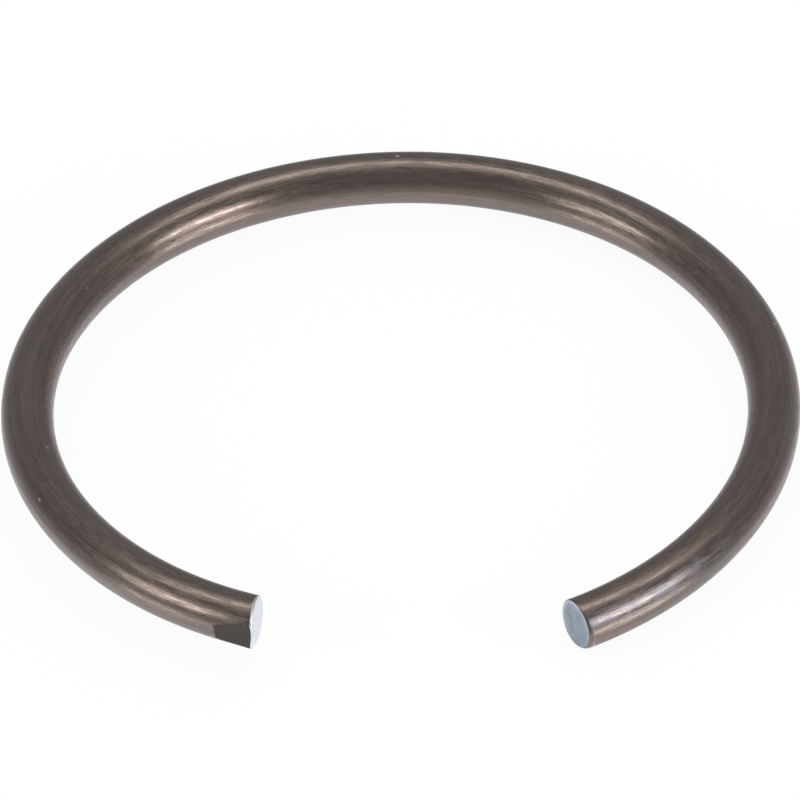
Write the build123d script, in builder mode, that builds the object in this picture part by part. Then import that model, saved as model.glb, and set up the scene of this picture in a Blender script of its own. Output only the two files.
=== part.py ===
"""Round wire snap ring: one piece of spring wire coiled to an open ring, cropped at both ends.

Millimetres. The origin is the centre of the ring at half its height, +Z is the ring's axis,
and the gap between the ends faces -Y. The wire climbs anticlockwise, from the right end at
the front to the left end, because the ring is one turn cut from a coil.
"""

import os
from math import cos, degrees, pi, radians, sin, tan

from build123d import *

# The free ring
wire_diameter = 2.0
outside_diameter = 30.4
gap_angle = 49.7  # between the ends, about the ring's axis
coil_lead = 1.1  # what the wire climbs in a full turn

# The cropped ends. A slant sets the outer side of a cut on along the wire, anticlockwise,
# and a lean does the same to its upper side.
right_slant = 3.4
right_lean = 3.9
left_slant = 9.8
left_lean = 0.3
right_edge_round = 0.09  # the edge that the blade rolled over
left_edge_round = 0.04

# The flat that the cropping tool pressed on the outside of the left end
flat_length = 1.6
flat_depth = 0.25  # at the cut, running out to nothing along flat_length
flat_turn = -10.0  # below the outward direction

wire_radius = wire_diameter / 2
centre_radius = outside_diameter / 2 - wire_radius
back_angle = 90.0  # the side opposite the gap, where the wire is at half height
right_angle = gap_angle / 2 - 90.0
left_angle = 270.0 - gap_angle / 2

# The wire is coiled a little long, and the blade takes the rest off.
trimmed_length = wire_radius
trimmed_angle = degrees(trimmed_length / centre_radius)
blade_size = 3 * wire_diameter


def wire_height(angle):
    """Height of the wire's centre line at an angle about the ring's axis."""
    return coil_lead * (angle - back_angle) / 360.0


def wire_centre(angle):
    """Point of the wire's centre line at an angle about the ring's axis."""
    turn = radians(angle)
    return Vector(centre_radius * cos(turn), centre_radius * sin(turn), wire_height(angle))


def wire_outward(angle):
    """Direction from the ring's axis to the wire."""
    return Vector(cos(radians(angle)), sin(radians(angle)), 0)


def wire_along(angle):
    """Direction of the wire, anticlockwise and climbing."""
    climb = coil_lead / (2 * pi * centre_radius)
    return Vector(-sin(radians(angle)), cos(radians(angle)), climb).normalized()


def wire_upward(angle):
    """Direction across the wire, at right angles to the two above."""
    return wire_outward(angle).cross(wire_along(angle)).normalized()


def cut_plane(angle, slant, lean):
    """Plane of a cropped end, with its normal along the wire, anticlockwise."""
    out = wire_outward(angle) + wire_along(angle) * tan(radians(slant))
    up = wire_upward(angle) + wire_along(angle) * tan(radians(lean))
    return Plane(origin=wire_centre(angle), x_dir=out, z_dir=up.cross(out))


def flat_plane():
    """Plane of the pressed flat, with its normal pointing out of the wire.

    It passes below the surface by flat_depth at the cut and meets it flat_length before.
    """
    turn = radians(flat_turn)
    before_angle = left_angle - degrees(flat_length / (centre_radius + wire_radius))
    across = [
        wire_outward(angle) * cos(turn) + wire_upward(angle) * sin(turn)
        for angle in (left_angle, before_angle)
    ]
    at_cut = wire_centre(left_angle) + across[0] * (wire_radius - flat_depth)
    at_start = wire_centre(before_angle) + across[1] * wire_radius
    run = at_cut - at_start
    width = wire_upward(left_angle) * cos(turn) - wire_outward(left_angle) * sin(turn)
    return Plane(origin=at_cut, x_dir=run, z_dir=run.cross(width))


os.makedirs("parts", exist_ok=True)

coil_start = right_angle - trimmed_angle
coil_end = left_angle + trimmed_angle
coil_low = wire_height(coil_start)
coil_rise = wire_height(coil_end) - coil_low

with BuildPart() as snap_ring:
    with BuildLine() as centre_line:
        coil = Helix(coil_lead, coil_rise, centre_radius, center=(0, 0, coil_low), mode=Mode.PRIVATE)
        add(coil.rotate(Axis.Z, coil_start))
    with BuildSketch(Plane(origin=centre_line.line @ 0, z_dir=centre_line.line % 0)):
        Circle(wire_radius)
    sweep(path=centre_line.line, is_frenet=True)

    # Crop both ends.
    with BuildSketch(cut_plane(right_angle, right_slant, right_lean)):
        Rectangle(blade_size, blade_size)
    extrude(amount=-2 * trimmed_length, mode=Mode.SUBTRACT)
    with BuildSketch(cut_plane(left_angle, left_slant, left_lean)):
        Rectangle(blade_size, blade_size)
    extrude(amount=2 * trimmed_length, mode=Mode.SUBTRACT)

    # Press the flat.
    with BuildSketch(flat_plane()):
        Rectangle(blade_size, blade_size)
    extrude(amount=wire_radius, mode=Mode.SUBTRACT)

    # Roll the cut edges over, where the cuts meet the wire and the flat.
    for cut_centre, edge_round in (
        (wire_centre(right_angle), right_edge_round),
        (wire_centre(left_angle), left_edge_round),
    ):
        cut_face = snap_ring.faces().filter_by(GeomType.PLANE).sort_by_distance(cut_centre)[0]
        fillet(cut_face.edges(), edge_round)

snap_ring.part.label = "snap_ring"
export_step(snap_ring.part, "parts/snap_ring.step")
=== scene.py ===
"""The looks of one round wire snap ring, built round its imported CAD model.

Metres, in the CAD model's frame: the ring's axis is +Z, its centre is the origin and the gap
between its ends faces -Y.
"""

from math import cos, radians, sin, tau

import bpy
import numpy as np
from mathutils import Matrix, Vector


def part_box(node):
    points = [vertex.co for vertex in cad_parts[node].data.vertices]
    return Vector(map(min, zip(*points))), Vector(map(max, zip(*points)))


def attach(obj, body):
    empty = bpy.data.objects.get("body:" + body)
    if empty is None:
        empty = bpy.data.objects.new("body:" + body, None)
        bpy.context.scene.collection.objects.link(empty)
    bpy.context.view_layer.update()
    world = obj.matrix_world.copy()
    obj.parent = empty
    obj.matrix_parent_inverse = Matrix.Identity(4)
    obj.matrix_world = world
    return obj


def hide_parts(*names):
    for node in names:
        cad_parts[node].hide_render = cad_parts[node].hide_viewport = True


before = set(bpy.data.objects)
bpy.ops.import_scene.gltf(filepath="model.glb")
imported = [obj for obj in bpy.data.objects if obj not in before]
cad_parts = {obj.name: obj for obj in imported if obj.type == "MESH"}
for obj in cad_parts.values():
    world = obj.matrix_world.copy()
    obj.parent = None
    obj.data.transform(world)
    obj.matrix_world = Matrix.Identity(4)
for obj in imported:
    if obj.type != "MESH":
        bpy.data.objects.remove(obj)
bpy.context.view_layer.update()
ring_low, ring_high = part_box("snap_ring")


# ---------------------------------------------------------------------------------------
# The wire. Hard drawn spring steel, coiled to an open ring and browned in oil. It was cut
# from the coil with a cropping tool, which left a slanted bare face on each end.

wire_radius = 0.001
centre_radius = ring_high.x - wire_radius
gap_angle = radians(49.7)
coil_lead = 0.0011

right_angle = gap_angle / 2 - tau / 4
left_angle = 3 * tau / 4 - gap_angle / 2
turn_length = np.hypot(tau * centre_radius, coil_lead)
wire_length = turn_length * (left_angle - right_angle) / tau


def wire_frame(along):
    """Centre, outward, forward and upward directions of the wire at a length along it.

    The centre line is a helix: the angle grows evenly with the length, the centre stands
    one radius out at that angle, and it climbs by the lead in each turn.
    """
    angle = right_angle + tau * along / turn_length
    zero = np.zeros_like(angle)
    height = coil_lead * (angle / tau - 0.25)
    centre = np.stack([centre_radius * np.cos(angle), centre_radius * np.sin(angle), height], -1)
    outward = np.stack([np.cos(angle), np.sin(angle), zero], -1)
    climb = zero + coil_lead / (tau * centre_radius)
    forward = np.stack([-np.sin(angle), np.cos(angle), climb], -1)
    forward /= np.linalg.norm(forward, axis=-1, keepdims=True)
    return centre, outward, forward, np.cross(outward, forward)


# Each end: how far the cut is slanted, by its outer and its upper side; how wide the blade
# rolled its edge over, at the narrowest and at the widest place; how far it dragged a corner
# back; and how far a lip stands up round the face. The turns say where round the wire.
right_cut = {
    "slant": 0.06,
    "lean": 0.068,
    "edge": 0.00006,
    "rolled": 0.00026,
    "rolled_turn": radians(-60),
    "drag": 0.0,
    "drag_turn": 0.0,
    "lip": 0.00004,
    "lip_turn": radians(75),
}
left_cut = {
    "slant": 0.173,
    "lean": 0.005,
    "edge": 0.00003,
    "rolled": 0.0002,
    "rolled_turn": radians(62),
    "drag": 0.00012,
    "drag_turn": radians(-50),
    "lip": 0.0,
    "lip_turn": 0.0,
}
drag_width = radians(38)
lip_width = radians(50)
roll_depth = 0.6  # of the rolled edge's width


def bell(turn, middle, width):
    """A bell curve round the wire, one in the middle and a third at its width from there."""
    away = (turn - middle + tau / 2) % tau - tau / 2
    return np.exp(-((away / width) ** 2))


def cut_offset(cut, across, turn):
    """How far along the wire the cut lies from its middle: a slanted plane, less the drag.

    The drag is a bell curve round the wire and grows with the cube of the way out.
    """
    plane = across * (np.cos(turn) * cut["slant"] + np.sin(turn) * cut["lean"])
    dragged = cut["drag"] * bell(turn, cut["drag_turn"], drag_width) * (across / wire_radius) ** 3
    return plane - dragged


def edge_width(cut, turn):
    """Width of the rolled edge: narrow, and swelling to its widest in one direction."""
    swell = (0.5 + 0.5 * np.cos(turn - cut["rolled_turn"])) ** 2
    return cut["edge"] + (cut["rolled"] - cut["edge"]) * swell


def wire_grid():
    """Points of the wire's whole surface on a grid, and where they lie on the straight wire.

    The first parameter runs from the middle of one cut face, out over the face and its rolled
    edge, along the wire and back in over the other face. The second goes round the wire.
    Also says which points are bare steel, how much highlight is painted on them along the edges, and
    their turn.
    """
    face_rings, edge_rings = 13, 8
    end_rings, body_rings = 60, 560
    sides = 128
    turn = np.linspace(0, tau, sides, endpoint=False)[None, :]

    # Lengths along the wire, close together by the ends.
    end_span = 0.0021
    end_steps = np.linspace(0, 1, end_rings, endpoint=False)[1:] * end_span
    body_steps = np.linspace(end_span, wire_length - end_span, body_rings)
    steps = np.concatenate([end_steps, body_steps, wire_length - end_steps[::-1]])[:, None]
    from_left = wire_length - steps
    fade_right = np.clip(1 - steps / end_span, 0, 1)
    fade_left = np.clip(1 - from_left / end_span, 0, 1)
    skin_along = (
        steps
        + fade_right * (edge_width(right_cut, turn) + cut_offset(right_cut, wire_radius, turn))
        - fade_left * (edge_width(left_cut, turn) - cut_offset(left_cut, wire_radius, turn))
    )
    skin_across = np.full_like(skin_along, wire_radius)

    def rolled_edge(cut, side):
        """A quarter of an ellipse from the cut face to the skin, side +1 right and -1 left."""
        bend = np.linspace(0, tau / 4, edge_rings + 1)[:-1, None]
        width = edge_width(cut, turn)
        across = wire_radius - width * roll_depth * (1 - np.sin(bend))
        along = side * width * (1 - np.cos(bend)) + cut_offset(cut, wire_radius, turn)
        lip = cut["lip"] * bell(turn, cut["lip_turn"], lip_width) * np.cos(bend)
        return along - side * lip, across

    def cut_face(cut):
        """Rings of the flat cut, from its middle to where its edge starts to roll."""
        share = (np.arange(1, face_rings + 1) / (face_rings + 1))[:, None]
        across = share * (wire_radius - edge_width(cut, turn) * roll_depth)
        return cut_offset(cut, across, turn), across

    right_edge, left_edge = rolled_edge(right_cut, 1), rolled_edge(left_cut, -1)
    right_face, left_face = cut_face(right_cut), cut_face(left_cut)
    along = np.concatenate([
        right_face[0], right_edge[0], skin_along,
        wire_length + left_edge[0][::-1], wire_length + left_face[0][::-1],
    ])
    across = np.concatenate([
        right_face[1], right_edge[1], skin_across, left_edge[1][::-1], left_face[1][::-1],
    ])
    turn = np.broadcast_to(turn, along.shape)
    centre, outward, forward, upward = wire_frame(along)
    spoke = np.cos(turn)[..., None] * outward + np.sin(turn)[..., None] * upward
    points = centre + across[..., None] * spoke
    drawn = np.stack([across * np.cos(turn), across * np.sin(turn), along], -1)

    # The bare steel reaches onto the rolled edge, by some of its rings.
    right_bare_edge, left_bare_edge = 3, 6
    bare = np.zeros(along.shape, bool)
    bare[: face_rings + right_bare_edge] = True
    bare[-(face_rings + left_bare_edge) :] = True

    # Painted highlights along the edges: the right face's lip and inner rim, and the line where its roll
    # ends.
    painted_glint = np.zeros(along.shape)
    rim = slice(face_rings - 1, face_rings + 2)
    lip_glint = bell(turn[rim], right_cut["lip_turn"], radians(40))
    inner_rim_glint = 0.7 * bell(turn[rim], radians(180), radians(50))
    painted_glint[rim] = lip_glint + inner_rim_glint
    roll_end = face_rings + edge_rings
    painted_glint[roll_end] = bell(turn[roll_end], radians(-42), radians(24))
    return points, drawn, bare, painted_glint, turn


# The flat that the cropping tool pressed on the outside of the left end. The steel that it
# pushed aside stands out as a low ridge below the flat.
flat_length = 0.0016
flat_start = 0.00128
flat_depth = 0.00025
flat_turn = radians(-10)
ridge_height = 0.00006
ridge_turn = radians(-62)
ridge_width = radians(13)
ridge_length = 0.0008


def press_flat(points, drawn):
    """Moves what stands out past the flat's plane straight back onto it, then adds the ridge.

    The ridge is a bell curve round the wire, grows evenly towards the cut, and fades to
    nothing towards the middle of the cut face. Also says which points were moved back.
    """
    stations = np.array([wire_length, wire_length - flat_length])
    centre, outward, forward, upward = wire_frame(stations)
    spoke = outward * cos(flat_turn) + upward * sin(flat_turn)
    at_cut = centre[0] + spoke[0] * (wire_radius - flat_depth)
    at_start = centre[1] + spoke[1] * wire_radius
    run = at_cut - at_start
    width = upward[0] * cos(flat_turn) - outward[0] * sin(flat_turn)
    normal = np.cross(run, width)
    normal /= np.linalg.norm(normal)

    turn = np.arctan2(drawn[..., 1], drawn[..., 0])
    across = np.hypot(drawn[..., 0], drawn[..., 1]) / wire_radius
    raised = bell(turn, ridge_turn, ridge_width)
    grown = np.clip((drawn[..., 2] - wire_length + ridge_length) / ridge_length, 0, 1)
    spokes = np.cos(turn)[..., None] * outward[0] + np.sin(turn)[..., None] * upward[0]
    points = points + (ridge_height * raised * grown * across**4)[..., None] * spokes

    near = drawn[..., 2] > wire_length - flat_start
    proud = np.clip((points - at_cut) @ normal, 0, None) * near
    return points - proud[..., None] * normal, proud > 0


def closed_mesh(name, points, poles):
    """A mesh from rings of points, closed at both ends by fans round a pole.

    Neighbouring rings are joined by four-sided faces, each ring onto itself, and the first
    and last ring by triangles onto their pole. Also gives the point at each face's corner.
    """
    rings, sides = points.shape[:2]
    index = np.arange(rings * sides).reshape(rings, sides)
    ahead = np.roll(index, -1, axis=1)
    quads = np.stack([index[:-1], index[1:], ahead[1:], ahead[:-1]], -1).reshape(-1, 4)
    first, last = rings * sides, rings * sides + 1
    start_fan = np.stack([np.full(sides, first), index[0], ahead[0]], -1)
    end_fan = np.stack([np.full(sides, last), ahead[-1], index[-1]], -1)
    corners = np.concatenate([quads.ravel(), start_fan.ravel(), end_fan.ravel()])
    counts = np.concatenate([np.full(len(quads), 4), np.full(2 * sides, 3)])
    starts = np.concatenate([[0], np.cumsum(counts)[:-1]])
    mesh = bpy.data.meshes.new(name)
    mesh.vertices.add(rings * sides + 2)
    mesh.vertices.foreach_set("co", np.concatenate([points.reshape(-1, 3), poles]).ravel())
    mesh.loops.add(len(corners))
    mesh.loops.foreach_set("vertex_index", corners)
    mesh.polygons.add(len(counts))
    mesh.polygons.foreach_set("loop_start", starts)
    mesh.update(calc_edges=True)
    mesh.polygons.foreach_set("use_smooth", np.ones(len(counts), bool))
    return mesh, corners


points, drawn, bare, painted_glint, turn = wire_grid()
points, flattened = press_flat(points, drawn)
end_centres = wire_frame(np.array([0.0, wire_length]))[0]
wire_mesh, corners = closed_mesh("snap_ring_wire", points, end_centres)


def point_values(name, kind, key, values):
    """Gives every point of the wire's mesh a value of its own, for the materials."""
    made = wire_mesh.attributes.new(name, kind, "POINT")
    made.data.foreach_set(key, values.ravel())


drawn_all = np.concatenate([drawn.reshape(-1, 3), [[0, 0, 0], [0, 0, wire_length]]])
point_values("drawn", "FLOAT_VECTOR", "vector", drawn_all)
point_values("pressed", "FLOAT", "value", np.append(flattened, [0, 0]).astype(float))
point_values("painted_glint", "FLOAT", "value", np.append(painted_glint, [0, 0]))

# The map unrolls the wire: along it by its length, round it by its turn. A face that spans
# the start of the turn has its low corners set on by a whole turn.
round_share = np.concatenate([(turn / tau).ravel(), [0, 0]])
loop_round = round_share[corners]
loop_along = drawn_all[corners, 2] / wire_length
unrolled = wire_mesh.uv_layers.new(name="unrolled")
sizes = np.zeros(len(wire_mesh.polygons), int)
wire_mesh.polygons.foreach_get("loop_total", sizes)
first_loops = np.concatenate([[0], np.cumsum(sizes)[:-1]])
highest = np.repeat(np.maximum.reduceat(loop_round, first_loops), sizes)
loop_round = np.where(highest - loop_round > 0.5, loop_round + 1, loop_round)
unrolled.uv.foreach_set("vector", np.stack([loop_along, loop_round], -1).ravel())

# The first material is the browned wire, the second the bare steel.
quad_bare = (bare[:-1] & bare[1:]).ravel()
fan_bare = np.ones(2 * points.shape[1], bool)
slots = np.concatenate([quad_bare, fan_bare]).astype(np.int32)
wire_mesh.polygons.foreach_set("material_index", slots)

wire = bpy.data.objects.new("snap_ring_wire", wire_mesh)
bpy.context.scene.collection.objects.link(wire)


def node(tree, kind, inputs=None, **settings):
    """Adds a node, sets its own properties, and sets or links its inputs."""
    made = tree.nodes.new(kind)
    for key, value in settings.items():
        setattr(made, key, value)
    for key, value in (inputs or {}).items():
        if isinstance(value, bpy.types.NodeSocket):
            tree.links.new(value, made.inputs[key])
        else:
            made.inputs[key].default_value = value
    return made


def remap(tree, value, low, high, to_low, to_high):
    """Takes a value's range, low to high, smoothly onto another range, and holds it there."""
    return node(tree, "ShaderNodeMapRange", {
        "Value": value, "From Min": low, "From Max": high, "To Min": to_low, "To Max": to_high,
    }, interpolation_type="SMOOTHSTEP").outputs[0]


def arithmetic(tree, operation, first, second):
    """One sum on two values."""
    return node(tree, "ShaderNodeMath", {0: first, 1: second}, operation=operation).outputs[0]


def blended(tree, share, first, second, blend_type="MIX"):
    """Two colours laid over each other, the second in the given share."""
    return node(tree, "ShaderNodeMix", {0: share, 6: first, 7: second},
                data_type="RGBA", blend_type=blend_type).outputs[2]


def drawn_noise(tree, straight, scale, detail, roughness):
    """Noise on the straight wire, with one scale across it and another along it."""
    stretched = node(tree, "ShaderNodeMapping", {"Vector": straight, "Scale": scale})
    return node(tree, "ShaderNodeTexNoise", {
        "Vector": stretched.outputs[0], "Scale": 1.0, "Detail": detail, "Roughness": roughness,
    }).outputs["Fac"]


# The browning, where it is darkest and palest; a bluish patch painted into one highlight; nicks;
# highlights painted along the edges; and the darker flat.
dark_brown = (0.225, 0.186, 0.152, 1)
pale_brown = (0.272, 0.2, 0.176, 1)
painted_highlight_tint = (0.26, 0.28, 0.36, 1)
nicked_steel = (0.62, 0.6, 0.6, 1)
glint_on_oxide = (0.8, 0.62, 0.55, 1)
darker_flat_colour = (0.07, 0.057, 0.048, 1)

# Where the bluish patch painted into the right lamp's highlight lies, and how strong it is.
highlight_tint_turn = radians(33)
highlight_tint_length = 0.009
highlight_tint_share = 0.45


def browned_wire():
    """Thin brown oxide and oil over drawn steel, with the die's fine lines along the wire."""
    material = bpy.data.materials.new("browned_spring_wire")
    material.use_nodes = True
    tree = material.node_tree
    tree.nodes.clear()
    straight = node(tree, "ShaderNodeAttribute", attribute_name="drawn").outputs["Vector"]
    pressed = node(tree, "ShaderNodeAttribute", attribute_name="pressed").outputs["Fac"]

    fine_lines = drawn_noise(tree, straight, (16000, 16000, 260), 3.0, 0.6)
    broad_lines = drawn_noise(tree, straight, (5200, 5200, 110), 3.0, 0.55)
    clouds = drawn_noise(tree, straight, (1300, 1300, 260), 4.0, 0.6)
    grains = drawn_noise(tree, straight, (12000, 12000, 1300), 3.0, 0.65)

    oxide = node(tree, "ShaderNodeValToRGB", {"Fac": clouds})
    ramp = oxide.color_ramp
    ramp.elements[0].position, ramp.elements[0].color = 0.3, dark_brown
    ramp.elements[1].position, ramp.elements[1].color = 0.7, pale_brown
    line_shade = remap(tree, broad_lines, 0.3, 0.7, 0.85, 1.1)
    colour = blended(tree, 1.0, oxide.outputs["Color"], line_shade, "MULTIPLY")

    # By the right end, on the outside, a bluish pale patch lies where the right lamp's highlight falls:
    # a painted highlight tint.
    place = node(tree, "ShaderNodeSeparateXYZ", {"Vector": straight}).outputs
    highlight_tint_side = (cos(highlight_tint_turn) / wire_radius, sin(highlight_tint_turn) / wire_radius, 0)
    facing = node(tree, "ShaderNodeVectorMath", {0: straight, 1: highlight_tint_side}, operation="DOT_PRODUCT")
    on_side = remap(tree, facing.outputs["Value"], 0.94, 1.0, 0.0, highlight_tint_share)
    near_end = remap(tree, place["Z"], 0.5 * highlight_tint_length, highlight_tint_length, 1.0, 0.0)
    broken_up = remap(tree, grains, 0.4, 0.6, 0.2, 1.0)
    highlight_tint_mask = arithmetic(tree, "MULTIPLY", on_side, near_end)
    highlight_tint_mask = arithmetic(tree, "MULTIPLY", highlight_tint_mask, broken_up)
    colour = blended(tree, highlight_tint_mask, colour, painted_highlight_tint)

    # A few small nicks from other rings in the bin.
    spread = node(tree, "ShaderNodeMapping", {"Vector": straight, "Scale": (800, 800, 500)})
    cells = node(tree, "ShaderNodeTexVoronoi", {"Vector": spread.outputs[0], "Scale": 1.0}).outputs
    nick = remap(tree, cells["Distance"], 0.03, 0.06, 1.0, 0.0)
    colour = blended(tree, nick, colour, nicked_steel)

    # Painted highlights along the edges, and darker on the flat.
    painted_glint = node(tree, "ShaderNodeAttribute", attribute_name="painted_glint").outputs["Fac"]
    colour = blended(tree, painted_glint, colour, glint_on_oxide)
    # The flat is darker and rougher than the rest of the wire.
    colour = blended(tree, pressed, colour, darker_flat_colour)

    rough = remap(tree, grains, 0.35, 0.7, 0.2, 0.44)
    rough = arithmetic(tree, "MAXIMUM", rough, arithmetic(tree, "MULTIPLY", pressed, 0.5))
    relief = arithmetic(tree, "ADD", fine_lines, arithmetic(tree, "MULTIPLY", broad_lines, 1.6))
    relief = arithmetic(tree, "ADD", relief, arithmetic(tree, "MULTIPLY", grains, 0.4))
    relief = arithmetic(tree, "SUBTRACT", relief, nick)
    lines = node(tree, "ShaderNodeBump", {"Height": relief, "Strength": 0.6, "Distance": 0.000008})
    tangent = node(tree, "ShaderNodeTangent", direction_type="UV_MAP", uv_map="unrolled")
    shader = node(tree, "ShaderNodeBsdfPrincipled", {
        "Base Color": colour, "Metallic": 0.75, "Roughness": rough,
        "Anisotropic": 0.5, "Anisotropic Rotation": 0.25, "Tangent": tangent.outputs[0],
        "Coat Weight": 0.3, "Coat Roughness": 0.2, "Sheen Weight": 0.1, "Sheen Roughness": 0.35,
        "Sheen Tint": (0.9, 0.88, 1, 1), "Normal": lines.outputs[0],
    })
    node(tree, "ShaderNodeOutputMaterial", {"Surface": shader.outputs[0]})
    return material


# The cut faces: torn steel where it is darkest and palest, a paler copy of it laid over the left face as
# painted light, and the painted highlight on the right face's rim. The blade's streaks run at an angle
# across the faces.
dark_steel = (0.22, 0.27, 0.32, 1)
pale_steel = (0.52, 0.57, 0.63, 1)
painted_lit_steel = (0.85, 0.88, 0.92, 1)
glint_on_steel = (0.8, 0.82, 0.95, 1)
streak_turn = radians(57)


def sheared_steel():
    """Bare steel, torn across by the blade, with streaks in the direction that it went."""
    material = bpy.data.materials.new("sheared_steel")
    material.use_nodes = True
    tree = material.node_tree
    tree.nodes.clear()
    straight = node(tree, "ShaderNodeAttribute", attribute_name="drawn").outputs["Vector"]
    turned = node(tree, "ShaderNodeMapping", {"Vector": straight, "Rotation": (0, 0, streak_turn)})
    streaks = drawn_noise(tree, turned.outputs[0], (1300, 7000, 7000), 4.0, 0.65)
    colour = node(tree, "ShaderNodeValToRGB", {"Fac": streaks})
    ramp = colour.color_ramp
    ramp.elements[0].position, ramp.elements[0].color = 0.3, dark_steel
    ramp.elements[1].position, ramp.elements[1].color = 0.7, pale_steel
    place = node(tree, "ShaderNodeSeparateXYZ", {"Vector": straight}).outputs
    # The left face is screened paler than the right one: a lit copy of the same steel, painted light.
    left_end = arithmetic(tree, "GREATER_THAN", place["Z"], 0.5 * wire_length)
    steel = blended(tree, left_end, colour.outputs["Color"], painted_lit_steel, "SCREEN")
    # Painted highlight on the right face's lip and inner rim.
    painted_glint = node(tree, "ShaderNodeAttribute", attribute_name="painted_glint").outputs["Fac"]
    steel = blended(tree, painted_glint, steel, glint_on_steel)
    relief = node(tree, "ShaderNodeBump", {"Height": streaks, "Strength": 0.6, "Distance": 0.00002})
    shader = node(tree, "ShaderNodeBsdfPrincipled", {
        "Base Color": steel, "Metallic": 0.8, "Roughness": 0.42, "Normal": relief.outputs[0],
    })
    node(tree, "ShaderNodeOutputMaterial", {"Surface": shader.outputs[0]})
    return material


wire_mesh.materials.append(browned_wire())
wire_mesh.materials.append(sheared_steel())
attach(wire, "root")
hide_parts("snap_ring")


# ---------------------------------------------------------------------------------------
# The table. A plain white sheet that the ring lies on, with the ring's soft shadow.

floor_half = 3.0
floor_mesh = bpy.data.meshes.new("table")
floor_ways = [(-1, -1), (1, -1), (1, 1), (-1, 1)]
floor_corners = [(x * floor_half, y * floor_half, ring_low.z) for x, y in floor_ways]
floor_mesh.from_pydata(floor_corners, [], [(0, 1, 2, 3)])
table = bpy.data.objects.new("table", floor_mesh)
bpy.context.scene.collection.objects.link(table)

seen_lift = 0.5
eye_lift = 0.43  # on top of the one before
polish_share = 0.8
polish_roughness = 0.16


def white_sheet():
    """Polished white: matt with the ring's shadow in it, lifted to white, and a gloss over it.

    The lift and the gloss are for what sees the table: the eye sees the lifted white alone,
    and a gloss, such as the wire's, sees the polish too, stronger at a low angle.
    """
    material = bpy.data.materials.new("white_sheet")
    material.use_nodes = True
    tree = material.node_tree
    tree.nodes.clear()
    path = node(tree, "ShaderNodeLightPath").outputs
    seen = arithmetic(tree, "MAXIMUM", path["Is Camera Ray"], path["Is Glossy Ray"])
    seen = arithmetic(tree, "MAXIMUM", seen, path["Is Transmission Ray"])
    lift = arithmetic(tree, "MULTIPLY", seen, seen_lift)
    eye = arithmetic(tree, "MULTIPLY", path["Is Camera Ray"], eye_lift)
    lift = arithmetic(tree, "ADD", lift, eye)
    matt = node(tree, "ShaderNodeBsdfDiffuse", {"Color": (0.9, 0.9, 0.9, 1)}).outputs[0]
    tint = blended(tree, path["Is Glossy Ray"], (1, 1, 1, 1), (0.92, 0.93, 1, 1))
    glow = node(tree, "ShaderNodeEmission", {"Color": tint, "Strength": 1.0}).outputs[0]
    white = node(tree, "ShaderNodeMixShader", {0: lift, 1: matt, 2: glow}).outputs[0]
    polish = node(tree, "ShaderNodeBsdfGlossy", {
        "Color": (1, 1, 1, 1), "Roughness": polish_roughness,
    }).outputs[0]
    low_angle = node(tree, "ShaderNodeLayerWeight", {"Blend": 0.5}).outputs["Facing"]
    share = remap(tree, low_angle, 0.36, 0.8, 0.0, polish_share)
    share = arithmetic(tree, "MULTIPLY", share, path["Is Glossy Ray"])
    sheet = node(tree, "ShaderNodeMixShader", {0: share, 1: white, 2: polish})
    node(tree, "ShaderNodeOutputMaterial", {"Surface": sheet.outputs[0]})
    return material


floor_mesh.materials.append(white_sheet())


# ---------------------------------------------------------------------------------------
# The studio. Two soft oval lamps stand right and left, and a wide one hangs overhead, a little
# to the back. The room is dim to a gloss and an even white to all else.


def soft_lamp(name, azimuth, elevation, distance, width, height, radiance):
    """A flat oval lamp facing the ring. Azimuth 0 is the front, 90 the right.

    Its power is its radiance times its area times pi.
    """
    a, e = radians(azimuth), radians(elevation)
    away = Vector((sin(a) * cos(e), -cos(a) * cos(e), sin(e)))
    area = width * height * tau / 8
    lamp = bpy.data.lights.new(name, "AREA")
    lamp.shape = "ELLIPSE"
    lamp.size, lamp.size_y = width, height
    lamp.energy = radiance * area * tau / 2
    lamp_object = bpy.data.objects.new(name, lamp)
    lamp_object.location = away * distance
    lamp_object.rotation_euler = away.to_track_quat("Z", "Y").to_euler()
    bpy.context.scene.collection.objects.link(lamp_object)


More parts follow.
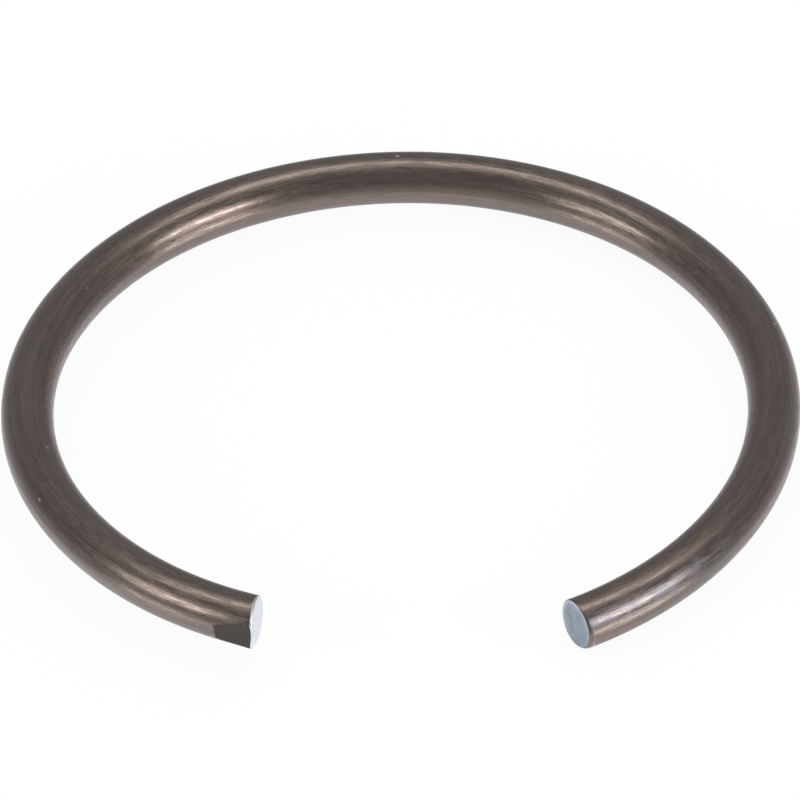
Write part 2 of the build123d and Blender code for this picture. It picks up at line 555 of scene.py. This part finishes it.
soft_lamp("right_box", 60, 21, 0.5, 0.3, 0.16, 6.6)
soft_lamp("left_box", -69, 24, 0.5, 0.28, 0.16, 3.8)
soft_lamp("top_strip", 180, 73, 0.6, 0.75, 0.22, 2.0)

world = bpy.data.worlds.new("studio")
bpy.context.scene.world = world
world.use_nodes = True
tree = world.node_tree
tree.nodes.clear()

# A gloss sees a dim room that is a little paler behind the ring.
even_light = 0.75
dim_front, dim_back = 0.05, 0.14
way = node(tree, "ShaderNodeTexCoord").outputs["Generated"]
backward = node(tree, "ShaderNodeSeparateXYZ", {"Vector": way}).outputs["Y"]
dim = remap(tree, backward, 0.0, 1.0, dim_front, dim_back)
path = node(tree, "ShaderNodeLightPath").outputs
strength = node(tree, "ShaderNodeMix", {
    0: path["Is Glossy Ray"], 2: even_light, 3: dim,
}, data_type="FLOAT")
room = node(tree, "ShaderNodeBackground", {"Color": (0.92, 0.96, 1, 1), "Strength": strength.outputs[0]})
node(tree, "ShaderNodeOutputWorld", {"Surface": room.outputs[0]})


# ---------------------------------------------------------------------------------------
# The camera, a long way off, looking down over the gap.

camera_azimuth = radians(-1.19)
camera_elevation = radians(38.87)
camera_roll = radians(2.24)
camera_distance = 45 * centre_radius
aim_up = 0.0209 * centre_radius
aim_left = 0.0018 * centre_radius
camera_back = Vector((
    sin(camera_azimuth) * cos(camera_elevation),
    -cos(camera_azimuth) * cos(camera_elevation),
    sin(camera_elevation),
))
camera_data = bpy.data.cameras.new("camera")
camera_data.sensor_width = 36
camera_data.lens = 756
camera = bpy.data.objects.new("camera", camera_data)
camera_turn = camera_back.to_track_quat("Z", "Y").to_matrix().to_4x4()
camera_turn = camera_turn @ Matrix.Rotation(-camera_roll, 4, "Z")
look_right, look_up = camera_turn.col[0].xyz, camera_turn.col[1].xyz
aim = look_up * aim_up - look_right * aim_left
camera.matrix_world = Matrix.Translation(aim + camera_back * camera_distance) @ camera_turn
camera_data.clip_start, camera_data.clip_end = 0.01, 10
bpy.context.scene.collection.objects.link(camera)
bpy.context.scene.camera = camera

bpy.context.scene.view_settings.view_transform = "Standard"
